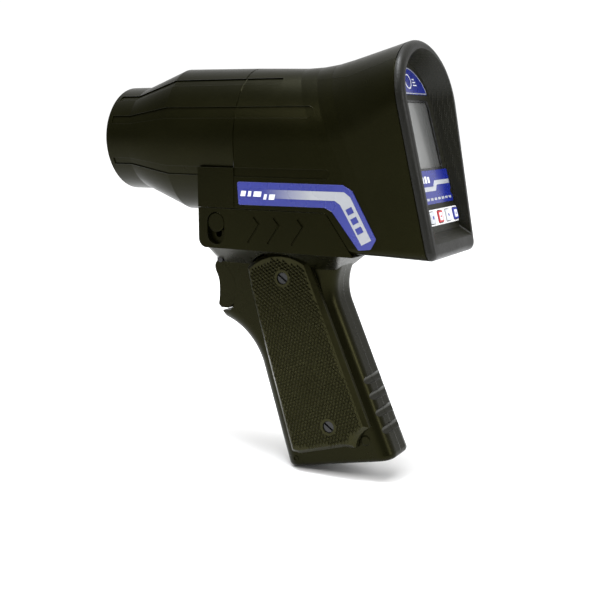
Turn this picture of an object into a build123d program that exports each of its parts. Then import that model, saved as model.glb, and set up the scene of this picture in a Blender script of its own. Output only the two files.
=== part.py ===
from build123d import *
import os
from math import atan, atan2, copysign, cos, degrees, hypot, radians, sin, sqrt, tan

os.makedirs("parts", exist_ok=True)

# Speed radar gun. Millimetres. Origin: middle of the nose's flat front face, on the antenna axis.
# +X points out of the nose along the beam, +Y to the gun's left side, +Z up.

# Driving dimensions
WALL = 3.0                      # moulded casing wall
GAP = 0.3                       # between two fixed or moving casings
M3_R, M3_HEAD_R, M3_HEAD_H = 1.5, 2.75, 2.4

# Nose, flare and barrel (front housing)
NOSE_R = 27.2
FLARE_START_X, FLARE_END_X, SEAM_X = -15.0, -39.0, -82.0
BARREL_TOP, BARREL_BOTTOM, BARREL_TOP_SLOPE = 36.1, -37.1, 0.0128
BODY_HALF_WIDTH = 28.0
FAIRING_X, FAIRING_TOP = -60.5, -13.3       # flat-sided lower block that starts behind the round barrel
LENS_R, LENS_T = 25.0, 3.0
NOSE_CHAMFER = 1.4
GROOVE_DEPTH = 0.6

# Rear housing: seam section, crease plane where the hood starts to widen, and the rim plane
BODY_BOTTOM = -52.5
CREASE_X, CREASE_SLOPE = -139.4, 0.43       # plane x = CREASE_X + CREASE_SLOPE * z
RIM_X, RIM_SLOPE = -178.2, 0.203            # plane x = RIM_X + RIM_SLOPE * z
BEZEL_DEPTH = 3.8
# Top, half width, crown and shoulder radius, side lean, bottom and corner radius of the two sections
CREASE_SECTION = (34.8, BODY_HALF_WIDTH, 21.0, 48.0, 0.0, BODY_BOTTOM, 3.5)
RIM_SECTION = (47.0, 33.3, 38.0, 25.0, 4.3, -53.5, 5.0)
BLEND_SHARES = (-0.3, -0.1, 0.1, 0.3)       # where the hood turns outwards, as shares of the way to the rim
LINE_GROOVE = 0.35                          # depth of the joint lines round the casing
RIM_WALL, RIM_ROUND = 4.6, 3.0
FASCIA_X, FASCIA_SLOPE, FASCIA_T = -169.5, 0.277, 2.0
FASCIA_HALF_WIDTH = 24.0
FUNNEL_WALL = 1.2

# Saddle under the body, with the grip below it
SADDLE_TOP, SADDLE_BOTTOM = -33.6, -53.8
SADDLE_FRONT, SADDLE_REAR_TOP, SADDLE_REAR_BOTTOM = -60.6, -133.4, -148.0
SLOT_X, SLOT_R, DISC_R, DISC_Z, SLIDE_TRAVEL = -71.0, 5.15, 4.85, -40.8, 6.0

# Grip frame, panels and trigger
FRAME_HALF_WIDTH, FRAME_CAVITY_HALF = 12.5, 9.75
NECK_HALF_WIDTH, NECK_BOTTOM = 25.0, -63.0
PANEL_FACE_Y, PANEL_BEVEL = 17.0, 2.0
PANEL_SCREWS = [(-103.5, -68.3), (-130.0, -141.8)]
GRIP_SCREW_HEAD_R, GRIP_SCREW_R = 2.9, 1.6
BASE_PIN, BASE_PIN_R = (-148.6, -147.2), 2.6
BASE_LOW, BASE_SLOPE = (-103.0, -169.3), -0.2225     # a point on the grip's flat base, and its slope
TRIGGER_PIN = (-65.0, -61.5)
TRIGGER_HALF_WIDTH, TRIGGER_PIN_R = 9.4, 1.5

# Keypad
KEY_PITCH, KEY_SIZE, KEY_Z = 9.8, 5.6, -36.6
KEY_COUNT = 5


def save(piece, name):
    """Labels a finished piece and writes it as its own STEP file."""
    piece.part.label = name
    export_step(piece.part, f"parts/{name}.step")


# ---------------------------------------------------------------- planes and outlines

def station(x):
    """Plane across the gun at x, with its local x up, so that round and oval outlines start at the top."""
    return Plane(origin=(x, 0, 0), x_dir=(0, 0, 1), z_dir=(1, 0, 0))


def leaning(x, slope, ahead=0.0):
    """Plane x + slope * z across the gun, moved forward by ahead along its normal. Local x is +Y."""
    tilt = atan(slope)
    plane = Plane(origin=(x, 0, 0), x_dir=(0, 1, 0), z_dir=(cos(tilt), 0, -sin(tilt)))
    return plane.offset(ahead)


def side_plane(y):
    """Plane along the gun at y, with local x forward and local y up. Extruding goes towards -Y."""
    return Plane.XZ.offset(-y)


def oval(x, inset=0.0):
    """Barrel section at x: an upright ellipse, its outline moved in by inset."""
    top = BARREL_TOP + (x - FLARE_END_X) * BARREL_TOP_SLOPE
    half_width = NOSE_R if x > SEAM_X else BODY_HALF_WIDTH
    with BuildSketch(station(x)) as section:
        with Locations(((top + BARREL_BOTTOM) / 2, 0)):
            Ellipse((top - BARREL_BOTTOM) / 2 - inset, half_width - inset)
    return section.sketch


def arch(plane, top, half_width, crown_r, shoulder_r, lean, bottom, corner_r, inset=0.0):
    """Arched section: crown arc, two shoulder arcs, leaning straight sides and a flat bottom."""
    top, half_width = top - inset, half_width - inset
    crown_r, shoulder_r, bottom = crown_r - inset, shoulder_r - inset, bottom + inset
    lean = radians(lean)
    shoulder_y, crown_z = half_width - shoulder_r, top - crown_r
    gap = crown_r - shoulder_r
    rise = copysign(sqrt(gap ** 2 - shoulder_y ** 2), gap)
    shoulder_z = crown_z + rise
    crown_end = (crown_r * shoulder_y / gap, crown_z + crown_r * rise / gap)
    side = (shoulder_y + shoulder_r * cos(lean), shoulder_z - shoulder_r * sin(lean))
    middle = (atan2(rise / gap, shoulder_y / gap) - lean) / 2
    shoulder = (shoulder_y + shoulder_r * cos(middle), shoulder_z + shoulder_r * sin(middle))
    foot = (side[0] - tan(lean) * (side[1] - bottom), bottom)
    with BuildSketch(plane) as section:
        with BuildLine():
            ThreePointArc((-crown_end[0], crown_end[1]), (0, top), crown_end)
            ThreePointArc(crown_end, shoulder, side)
            Polyline(side, foot, (-foot[0], bottom), (-side[0], side[1]))
            ThreePointArc((-side[0], side[1]), (-shoulder[0], shoulder[1]), (-crown_end[0], crown_end[1]))
        make_face()
        fillet(section.vertices().group_by(Axis.Y)[0], corner_r)
    return section.sketch


def seam_arch(inset=0.0, x=SEAM_X, bottom=BODY_BOTTOM):
    """Body section at the seam, which follows the barrel's oval over the top."""
    return arch(Plane.YZ.offset(x), 35.55, BODY_HALF_WIDTH, 23.0, 42.0, 0.0, bottom, 3.5, inset)


def hood_arch(share, swell, inset=0.0):
    """Body section part of the way from the crease plane to the rim, grown by swell towards the rim's size."""
    x, slope = CREASE_X + share * (RIM_X - CREASE_X), CREASE_SLOPE + share * (RIM_SLOPE - CREASE_SLOPE)
    stretch = hypot(1.0, slope)
    grown = [low + swell * (high - low) for low, high in zip(CREASE_SECTION, RIM_SECTION)]
    top, half_width, crown_r, shoulder_r, lean, bottom, corner_r = grown
    return arch(leaning(x, slope), top * stretch, half_width, crown_r, shoulder_r, lean,
                bottom * stretch, corner_r, inset)


def mouth_arch(grow=0.0):
    """Inner edge of the rim, with a deep sill at the bottom."""
    return arch(leaning(RIM_X, RIM_SLOPE), 48.0 - RIM_WALL + grow, 33.3 - RIM_WALL + grow,
                38.0 - RIM_WALL + grow, 25.0 - RIM_WALL + grow, 4.3, -46.6 - grow, 1.5 + grow)


def panel_arch(grow=0.0, ahead=0.0):
    """Outline of the instrument panel, at the bottom of the hood's funnel."""
    return arch(leaning(FASCIA_X, FASCIA_SLOPE, ahead), 38.4 + grow, FASCIA_HALF_WIDTH + grow,
                27.0 + grow, 18.0 + grow, 0.0, -43.4 - grow, 1.5 + grow)


# ---------------------------------------------------------------- casing volumes

def barrel_volume(inset, front_x):
    """Nose, flare and barrel from front_x back to the seam, with the skin moved in by inset."""
    with BuildPart() as volume:
        with BuildSketch(station(front_x)):
            Circle(NOSE_R - inset)
        extrude(amount=FLARE_START_X - front_x)
        with BuildSketch(station(FLARE_START_X)) as round_end:
            Circle(NOSE_R - inset)
        loft(sections=[round_end.sketch, oval(FLARE_END_X, inset)])
        loft(sections=[oval(FLARE_END_X, inset), oval(SEAM_X, inset)])
    return volume.part


def fairing_volume(inset):
    """Flat-sided block under the rear of the barrel, down to the saddle."""
    bottom, top = SADDLE_TOP + GAP + inset, FAIRING_TOP
    with BuildPart() as volume:
        with BuildSketch(Plane.XY.offset(bottom)):
            with Locations(((FAIRING_X - inset + SEAM_X) / 2, 0)):
                Rectangle(FAIRING_X - inset - SEAM_X, 2 * (BODY_HALF_WIDTH - inset))
        extrude(amount=top - bottom)
    return volume.part


def body_volume(inset):
    """Rear body from the seam, turning gently outwards into the hood, to the rim."""
    reach = BLEND_SHARES[-1]
    turns = [hood_arch(share, (share + reach) ** 2 / (4 * reach), inset) for share in BLEND_SHARES]
    with BuildPart() as volume:
        loft(sections=[seam_arch(inset), *turns, hood_arch(1.0, 1.0, inset)], ruled=True)
    return volume.part


def saddle_outline(grow):
    """Side outline of the saddle, grown by grow at the top, front and sloping rear."""
    lean = atan2(SADDLE_REAR_TOP - SADDLE_REAR_BOTTOM, SADDLE_TOP - SADDLE_BOTTOM)
    shift = grow / cos(lean)
    drop = grow * (1 + tan(lean))
    with BuildSketch(Plane.XZ) as outline:
        with BuildLine():
            Polyline((SADDLE_FRONT + grow, SADDLE_BOTTOM - drop), (SADDLE_FRONT + grow, SADDLE_TOP + grow),
                     (SADDLE_REAR_TOP - shift + grow * tan(lean), SADDLE_TOP + grow),
                     (SADDLE_REAR_BOTTOM - shift - drop * tan(lean), SADDLE_BOTTOM - drop), close=True)
        make_face()
        fillet(outline.vertices().sort_by(Axis.X)[1], 4.0 + grow)
    return outline.sketch


def saddle_clearance(grow):
    """Room that the casings leave round the saddle, right across the gun."""
    with BuildPart() as volume:
        extrude(to_extrude=saddle_outline(grow), amount=2 * BODY_HALF_WIDTH, both=True)
    return volume.part


# Long shallow grooves along both sides: height of the lower and upper edge on the barrel, and rear end
GROOVES = [(10.7, 16.2, -125.5), (-17.6, -13.2, -135.5), (27.0, 30.0, -103.5)]
GROOVE_FRONT_X = -4.0


def groove_band(low, high, rear_x):
    """One groove's side view: level along the barrel, closing in along the flare, rounded at the rear."""
    squeeze = 2 * NOSE_R / (BARREL_TOP - BARREL_BOTTOM)
    middle = (low + high) / 2
    with BuildSketch(Plane.XZ) as band:
        with BuildLine():
            rear_end = ThreePointArc((rear_x + (high - low) / 2, high), (rear_x, middle),
                                     (rear_x + (high - low) / 2, low))
            Polyline(rear_end @ 1, (FLARE_END_X, low), (FLARE_START_X, low * squeeze),
                     (GROOVE_FRONT_X, low * squeeze), (GROOVE_FRONT_X, high * squeeze),
                     (FLARE_START_X, high * squeeze), (FLARE_END_X, high), rear_end @ 0)
        make_face()
    return band.sketch


def groove_cutter(core):
    """Both sides' grooves: the bands right across the gun, less the core that stays."""
    with BuildPart() as cutter:
        for low, high, rear_x in GROOVES:
            extrude(to_extrude=groove_band(low, high, rear_x), amount=40.0, both=True)
        add(core, mode=Mode.SUBTRACT)
    return cutter.part


def line_groove(plane, core):
    """Thin groove round the casing where two mouldings meet, down to the core."""
    with BuildPart() as cutter:
        with BuildSketch(plane.offset(-0.3)):
            Rectangle(200.0, 200.0)
        extrude(amount=0.6)
        add(core, mode=Mode.SUBTRACT)
    return cutter.part


# ---------------------------------------------------------------- front housing

SEAM_BOSSES = [(15.0, 19.0), (-15.0, 19.0), (21.5, -26.5), (-21.5, -26.5)]
BOSS_ROOTS = [(1.15 * y, 1.15 * z) for y, z in SEAM_BOSSES[:2]]      # tie the upper bosses to the wall
BOSS_R, BOSS_LENGTH = 3.6, 10.0
SADDLE_SCREWS = [(-72.0, 15.0), (-72.0, -15.0), (-122.0, 15.0), (-122.0, -15.0)]
SADDLE_BOSS_H = 6.0
HOUSING_FLOOR = SADDLE_TOP + GAP + WALL

barrel_core = barrel_volume(GROOVE_DEPTH, -GROOVE_DEPTH)
barrel_cavity = barrel_volume(WALL, -LENS_T - 0.2)
fairing = fairing_volume(0.0)
fairing_cavity = fairing_volume(WALL)
saddle_room = saddle_clearance(GAP)
saddle_floor = saddle_clearance(GAP + WALL)
front_grooves = groove_cutter(barrel_core)
front_line = line_groove(Plane.YZ.offset(SEAM_X), barrel_volume(LINE_GROOVE, -LINE_GROOVE))

with BuildPart() as front_cavity:
    add(barrel_cavity)
    add(fairing_cavity)
    add(saddle_floor, mode=Mode.SUBTRACT)

with BuildPart() as front_housing:
    add(barrel_volume(0.0, 0.0))
    chamfer(front_housing.faces().sort_by(Axis.X)[-1].edges(), NOSE_CHAMFER)
    add(front_grooves, mode=Mode.SUBTRACT)
    add(front_line, mode=Mode.SUBTRACT)
    add(fairing)
    add(saddle_room, mode=Mode.SUBTRACT)
    add(front_cavity.part, mode=Mode.SUBTRACT)
    with BuildSketch(station(0)):
        Circle(LENS_R + 0.1)
    extrude(amount=-LENS_T - 0.2, mode=Mode.SUBTRACT)
    with BuildSketch(Plane.YZ.offset(SEAM_X)):
        with Locations(*SEAM_BOSSES, *BOSS_ROOTS):
            Circle(BOSS_R)
    extrude(amount=BOSS_LENGTH)
    with BuildSketch(Plane.XY.offset(HOUSING_FLOOR - 0.5)):
        with Locations(*SADDLE_SCREWS[:2]):
            Circle(BOSS_R)
    extrude(amount=SADDLE_BOSS_H)
    with Locations(*[Plane.YZ.offset(SEAM_X) * Pos(y, z) for y, z in SEAM_BOSSES]):
        Cylinder(M3_R, 2 * 8.0, mode=Mode.SUBTRACT)
    with Locations(*[(x, y, HOUSING_FLOOR - WALL) for x, y in SADDLE_SCREWS[:2]]):
        Cylinder(M3_R, 2 * 7.5, mode=Mode.SUBTRACT)
    extrude(to_extrude=seam_arch(1.0, bottom=HOUSING_FLOOR - WALL), amount=0.8, mode=Mode.SUBTRACT)
save(front_housing, "front_housing")

# ---------------------------------------------------------------- rear housing

BOARD_X, BOARD_LENGTH, BOARD_HALF_WIDTH, BOARD_T, BOARD_Z = -113.0, 46.0, 19.0, 1.6, -20.8
BOARD_SCREWS = [(-94.0, 15.0), (-94.0, -15.0), (-132.0, 15.0), (-132.0, -15.0)]
SPEAKER_X, SPEAKER_R, SPEAKER_T, SPEAKER_Z = -165.0, 11.0, 5.0, -49.0
SOUND_HOLE_R, SOUND_HOLE_RING = 0.9, 6.0
JOINT_PLANE = leaning(RIM_X, RIM_SLOPE, BEZEL_DEPTH)

body = body_volume(0.0)
body_cavity = body_volume(WALL)
rear_grooves = groove_cutter(body_volume(GROOVE_DEPTH))
line_core = body_volume(LINE_GROOVE)
rear_line, bezel_line = line_groove(Plane.YZ.offset(SEAM_X), line_core), line_groove(JOINT_PLANE, line_core)

with BuildPart() as rear_cavity:
    add(body_cavity)
    add(saddle_floor, mode=Mode.SUBTRACT)

with BuildPart() as rear_housing:
    add(body)
    split(bisect_by=JOINT_PLANE, keep=Keep.TOP)
    for groove in (rear_grooves, rear_line, bezel_line):
        add(groove, mode=Mode.SUBTRACT)
    add(saddle_room, mode=Mode.SUBTRACT)
    add(rear_cavity.part, mode=Mode.SUBTRACT)
    with BuildSketch(Plane.YZ.offset(SEAM_X)):
        with Locations(*SEAM_BOSSES, *BOSS_ROOTS):
            Circle(BOSS_R)
    extrude(amount=-BOSS_LENGTH)
    with BuildSketch(Plane.XY.offset(HOUSING_FLOOR - 0.5)):
        with Locations(*SADDLE_SCREWS[2:]):
            Circle(BOSS_R)
    extrude(amount=SADDLE_BOSS_H)
    with BuildSketch(Plane.XY.offset(HOUSING_FLOOR - 0.5)):
        with Locations(*BOARD_SCREWS):
            Circle(M3_R + 1.5)
    extrude(amount=BOARD_Z - HOUSING_FLOOR + 0.5)
    with Locations((-97.5, 0, HOUSING_FLOOR)):
        Box(16.0, 16.0, 4 * WALL, mode=Mode.SUBTRACT)
    with Locations(*[Plane.YZ.offset(SEAM_X) * Pos(y, z) for y, z in SEAM_BOSSES]):
        Cylinder(M3_R + 0.1, 2 * BOSS_LENGTH, mode=Mode.SUBTRACT)
    with Locations(*[(x, y, HOUSING_FLOOR - WALL) for x, y in SADDLE_SCREWS[2:]]):
        Cylinder(M3_R, 2 * 7.5, mode=Mode.SUBTRACT)
    with Locations(*[(x, y, BOARD_Z) for x, y in BOARD_SCREWS]):
        Cylinder(1.0, 2 * 5.0, mode=Mode.SUBTRACT)
    with Locations((SPEAKER_X, 0, BODY_BOTTOM)):
        Cylinder(SOUND_HOLE_R, 4 * WALL, mode=Mode.SUBTRACT)
        with PolarLocations(SOUND_HOLE_RING, 6):
            Cylinder(SOUND_HOLE_R, 4 * WALL, mode=Mode.SUBTRACT)
save(rear_housing, "rear_housing")

with BuildPart() as seam_gasket:
    extrude(to_extrude=seam_arch(1.05, bottom=HOUSING_FLOOR - WALL), amount=0.75)
    extrude(to_extrude=seam_arch(2.1, bottom=HOUSING_FLOOR - WALL), amount=0.75, mode=Mode.SUBTRACT)
save(seam_gasket, "seam_gasket")

# ---------------------------------------------------------------- rear bezel with its funnel

with BuildPart() as bezel_ring:
    add(body)
    split(bisect_by=JOINT_PLANE, keep=Keep.BOTTOM)
    rim_face = bezel_ring.faces().sort_by(SortBy.AREA)[-2:].sort_by(Axis.X)[0]
    fillet(rim_face.edges(), RIM_ROUND)
    add(bezel_line, mode=Mode.SUBTRACT)

with BuildPart() as rear_bezel:
    add(bezel_ring.part)
    loft(sections=[mouth_arch(FUNNEL_WALL), panel_arch(FUNNEL_WALL)])
    loft(sections=[mouth_arch(), panel_arch()], mode=Mode.SUBTRACT)
save(rear_bezel, "rear_bezel")

# ---------------------------------------------------------------- instrument panel and what it carries

FASCIA = leaning(FASCIA_X, FASCIA_SLOPE)
WINDOW_HALF, WINDOW_BOTTOM, WINDOW_TOP, WINDOW_R = 18.0, -13.3, 18.8, 2.0
WINDOW_SIZE = (2 * WINDOW_HALF, WINDOW_TOP - WINDOW_BOTTOM)
WINDOW_CENTRE = (0.0, (WINDOW_TOP + WINDOW_BOTTOM) / 2)
LABEL_HALF, LABEL_T = 23.0, 0.3
KEY_PLATE_T, KEY_PLATE_H = 0.8, 7.6
KEY_PROUD, KEY_CLEARANCE, KEY_FLANGE = 0.6, 0.3, 7.4
KEY_PLACES = [(KEY_PITCH * (i - (KEY_COUNT - 1) / 2), KEY_Z) for i in range(KEY_COUNT)]
DISPLAY_BOARD_AHEAD = 6.0
PANEL_BOSSES = [(13.0, 27.5), (-13.0, 27.5), (13.0, -25.5), (-13.0, -25.5)]


def on_fascia(ahead):
    """Plane parallel to the panel's face, ahead of it (inwards) by the distance given."""
    return leaning(FASCIA_X, FASCIA_SLOPE, ahead)


with BuildPart() as rear_fascia:
    extrude(to_extrude=panel_arch(FUNNEL_WALL), amount=FASCIA_T)
    with BuildSketch(FASCIA):
        with Locations(WINDOW_CENTRE):
            RectangleRounded(*WINDOW_SIZE, WINDOW_R)
        with Locations(*KEY_PLACES):
            RectangleRounded(KEY_SIZE + 2 * KEY_CLEARANCE, KEY_SIZE + 2 * KEY_CLEARANCE, 0.8)
    extrude(amount=FASCIA_T, mode=Mode.SUBTRACT)
    with BuildSketch(on_fascia(FASCIA_T)):
        with Locations(*PANEL_BOSSES):
            Circle(2.4)
    extrude(amount=DISPLAY_BOARD_AHEAD - FASCIA_T)
    with BuildSketch(on_fascia(FASCIA_T)):
        with Locations(*PANEL_BOSSES):
            Circle(1.0)
    extrude(amount=DISPLAY_BOARD_AHEAD - FASCIA_T, mode=Mode.SUBTRACT)
save(rear_fascia, "rear_fascia")

with BuildPart() as display_window:
    with BuildSketch(on_fascia(0.5)):
        with Locations(WINDOW_CENTRE):
            RectangleRounded(WINDOW_SIZE[0] - 0.1, WINDOW_SIZE[1] - 0.1, WINDOW_R - 0.05)
    extrude(amount=1.4)
save(display_window, "display_window")

with BuildPart() as lcd_module:
    with BuildSketch(on_fascia(FASCIA_T + 0.2)):
        with Locations(WINDOW_CENTRE):
            Rectangle(2 * 19.5, WINDOW_SIZE[1] + 3.0)
    extrude(amount=DISPLAY_BOARD_AHEAD - FASCIA_T - 0.2)
save(lcd_module, "lcd_module")

with BuildPart() as display_board:
    with BuildSketch(on_fascia(DISPLAY_BOARD_AHEAD)):
        with Locations((0, -5.5)):
            Rectangle(2 * 22.5, 72.0)
        with Locations(*PANEL_BOSSES):
            Circle(1.2, mode=Mode.SUBTRACT)
    extrude(amount=1.6)
    with BuildSketch(on_fascia(DISPLAY_BOARD_AHEAD)):
        with Locations(*KEY_PLACES):
            Rectangle(4.0, 4.0)
    extrude(amount=-2.5)
save(display_board, "display_board")

with BuildPart() as arch_label:
    with BuildSketch(FASCIA):
        with BuildLine():
            label_top = ThreePointArc((-19.5, 24.5), (0, 35.6), (19.5, 24.5))
            Polyline(label_top @ 1, (19.5, 22.4), (-19.5, 22.4), label_top @ 0)
        make_face()
    extrude(amount=-LABEL_T)
save(arch_label, "arch_label")

with BuildPart() as info_label:
    with BuildSketch(FASCIA):
        with Locations((0, -22.2)):
            RectangleRounded(2 * LABEL_HALF, 16.0, 0.8)
        with Locations((-LABEL_HALF, -25.6)):
            Circle(1.5, mode=Mode.SUBTRACT)
    extrude(amount=-LABEL_T)
save(info_label, "info_label")

with BuildPart() as keypad_plate:
    with BuildSketch(FASCIA):
        with Locations((0, KEY_Z)):
            RectangleRounded(2 * LABEL_HALF, KEY_PLATE_H, 1.0)
        with Locations(*KEY_PLACES):
            RectangleRounded(KEY_SIZE + 2 * KEY_CLEARANCE, KEY_SIZE + 2 * KEY_CLEARANCE, 0.8,
                             mode=Mode.SUBTRACT)
    extrude(amount=-KEY_PLATE_T)
save(keypad_plate, "keypad_plate")

for number, place in enumerate(KEY_PLACES, start=1):
    with BuildPart() as key:
        with BuildSketch(on_fascia(-KEY_PLATE_T - KEY_PROUD)):
            with Locations(place):
                RectangleRounded(KEY_SIZE, KEY_SIZE, 0.6)
        extrude(amount=KEY_PROUD + KEY_PLATE_T + FASCIA_T + 0.2)
        fillet(key.faces().sort_by(Axis.X)[0].edges(), 0.3)
        with BuildSketch(on_fascia(FASCIA_T + 0.1)):
            with Locations(place):
                Rectangle(KEY_FLANGE, KEY_FLANGE)
        extrude(amount=0.7)
    save(key, f"key_{number}")

# ---------------------------------------------------------------- saddle and its slide

CAVITY_FRONT, CAVITY_REAR, CAVITY_HALF = -65.2, -126.5, 22.7
CAVITY_TOP, CAVITY_BOTTOM = SADDLE_TOP - WALL, SADDLE_BOTTOM + WALL
NECK_SCREWS = [(-72.5, 14.0), (-72.5, -14.0), (-122.0, 14.0), (-122.0, -14.0)]
CHEVRON_TIPS = [-96.7, -108.1, -121.4]
CHEVRON_TIP_Z, CHEVRON_WIDTH, CHEVRON_DEPTH = -40.6, 1.1, 0.6
SLOT_POCKET = 3.0

with BuildPart() as saddle:
    extrude(to_extrude=saddle_outline(0.0), amount=BODY_HALF_WIDTH, both=True)
    fillet(saddle.edges().filter_by(Axis.Y).group_by(Axis.X)[-1].sort_by(Axis.Z)[0], 4.5)
    with BuildSketch(Plane.XY.offset(CAVITY_BOTTOM)):
        with Locations(((CAVITY_FRONT + CAVITY_REAR) / 2, 0)):
            Rectangle(CAVITY_FRONT - CAVITY_REAR, 2 * CAVITY_HALF)
    extrude(amount=CAVITY_TOP - CAVITY_BOTTOM, mode=Mode.SUBTRACT)
    with Locations((-99.0, 0, SADDLE_TOP)):
        Box(26.0, 18.0, 4 * WALL, mode=Mode.SUBTRACT)
    with Locations((-102.0, 0, SADDLE_BOTTOM)):
        Box(30.0, 14.0, 4 * WALL, mode=Mode.SUBTRACT)
    with BuildSketch(side_plane(BODY_HALF_WIDTH)):
        with Locations((SLOT_X, DISC_Z - SLIDE_TRAVEL / 2)):
            SlotCenterToCenter(SLIDE_TRAVEL, 2 * SLOT_R, rotation=90)
    extrude(amount=SLOT_POCKET, mode=Mode.SUBTRACT)
    with BuildSketch(side_plane(BODY_HALF_WIDTH - SLOT_POCKET)):
        with Locations((SLOT_X, DISC_Z - SLIDE_TRAVEL / 2)):
            SlotCenterToCenter(SLIDE_TRAVEL, 3.4, rotation=90)
    extrude(amount=4.0, mode=Mode.SUBTRACT)
    with BuildSketch(Plane.XZ) as chevrons:
        for tip in CHEVRON_TIPS:
            with BuildLine() as chevron_line:
                Polyline((tip + 3.2, CHEVRON_TIP_Z + 3.6), (tip, CHEVRON_TIP_Z),
                         (tip + 6.6, CHEVRON_TIP_Z - 9.4))
            trace(chevron_line.edges(), line_width=CHEVRON_WIDTH)
    for side in (1, -1):
        face_y = side * BODY_HALF_WIDTH
        extrude(to_extrude=Pos(0, face_y, 0) * chevrons.sketch, amount=CHEVRON_DEPTH, both=True,
                mode=Mode.SUBTRACT)
    with Locations(*[(x, y, SADDLE_TOP) for x, y in SADDLE_SCREWS]):
        Cylinder(M3_R + 0.1, 4 * WALL, mode=Mode.SUBTRACT)
    with Locations(*[(x, y, SADDLE_BOTTOM) for x, y in NECK_SCREWS]):
        Cylinder(M3_R + 0.1, 4 * WALL, mode=Mode.SUBTRACT)
save(saddle, "saddle")

with BuildPart() as lock_slide:
    with BuildSketch(side_plane(BODY_HALF_WIDTH - 0.3)):
        with Locations((SLOT_X, DISC_Z)):
            Circle(DISC_R)
    extrude(amount=SLOT_POCKET - 0.6)
    chamfer(lock_slide.faces().sort_by(Axis.Y)[-1].edges(), 0.3)
    with BuildSketch(side_plane(BODY_HALF_WIDTH - 0.3)):
        with Locations((SLOT_X, DISC_Z)):
            Circle(1.4)
    extrude(amount=BODY_HALF_WIDTH - 0.3 - CAVITY_HALF + 1.0)
    with BuildSketch(side_plane(CAVITY_HALF - GAP)):
        with Locations((SLOT_X, DISC_Z)):
            Circle(3.6)
    extrude(amount=1.5)
save(lock_slide, "lock_slide")

# ---------------------------------------------------------------- grip frame halves

BACK_TOP, BACK_LOW = (-131.5, -82.1), (-163.4, -155.9)
STRAP_TOP, STRAP_MIDDLE, STRAP_LOW = (-65.2, -94.0), (-77.2, -101.4), (-86.0, -114.5)
STRAP_SLOPE = 15.9 / 51.0
NOTCH_TOP, NOTCH_MIDDLE, NOTCH_LOW = (-61.1, -62.6), (-72.5, -75.7), (-69.0, -88.6)
SHELF = (-63.7, -89.0)
BACK_SLOPE = (BACK_TOP[0] - BACK_LOW[0]) / (BACK_TOP[1] - BACK_LOW[1])
BELOW_BASE = -190.0
STRAP_ROUND, BACK_ROUND = 7.0, 7.0
RIB_GROOVES, RIB_R, RIB_LIFT = [-117.0, -124.6, -132.8, -141.0], 2.6, 1.5
BASE_PLATE_T = 2.5


def along_strap(z):
    """Point on the straight part of the front strap at height z."""
    return (STRAP_LOW[0] + STRAP_SLOPE * (z - STRAP_LOW[1]), z)


def along_back(z):
    """Point on the grip's straight back at height z."""
    return (BACK_TOP[0] + BACK_SLOPE * (z - BACK_TOP[1]), z)


def along_base(x, lift=0.0):
    """Point on the grip's flat base at x, raised by lift."""
    return (x, BASE_LOW[1] + BASE_SLOPE * (x - BASE_LOW[0]) + lift)


def panel_outline(grow=0.0):
    """Side outline of a grip panel, with its rear bottom corner cut away round the frame's pin."""
    with BuildSketch(Plane.XZ) as outline:
        with BuildLine():
            ThreePointArc((-81.6, -64.5), (-98.0, -55.8), (-117.2, -59.5))
            Line((-117.2, -59.5), (-151.6, -139.4))
            ThreePointArc((-151.6, -139.4), (-146.8, -144.0), (-144.4, -151.0))
            Polyline((-144.4, -151.0), (-137.6, -151.6), (-112.7, -159.2), (-107.9, -158.7),
                     (-92.8, -107.7), (-83.9, -75.8), (-81.6, -64.5))
        make_face()
        if grow:
            offset(amount=grow, kind=Kind.INTERSECTION)
    return outline.sketch


def trigger_room():
    """Side outline of everything in front of the frame's trigger notch, shelf and nose."""
    with BuildSketch(Plane.XZ) as room:
        with BuildLine():
            ThreePointArc(NOTCH_TOP, NOTCH_MIDDLE, NOTCH_LOW)
            Polyline(NOTCH_LOW, SHELF, STRAP_TOP, (-60.0, -100.0), (-30.0, -100.0), (-30.0, -50.0),
                     (NOTCH_TOP[0], -50.0), NOTCH_TOP)
        make_face()
    return room.sketch


with BuildPart() as panel_room:
    extrude(to_extrude=panel_outline(0.5), amount=2 * NECK_HALF_WIDTH, both=True)
    Box(600.0, 2 * FRAME_HALF_WIDTH, 600.0, mode=Mode.SUBTRACT)

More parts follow.
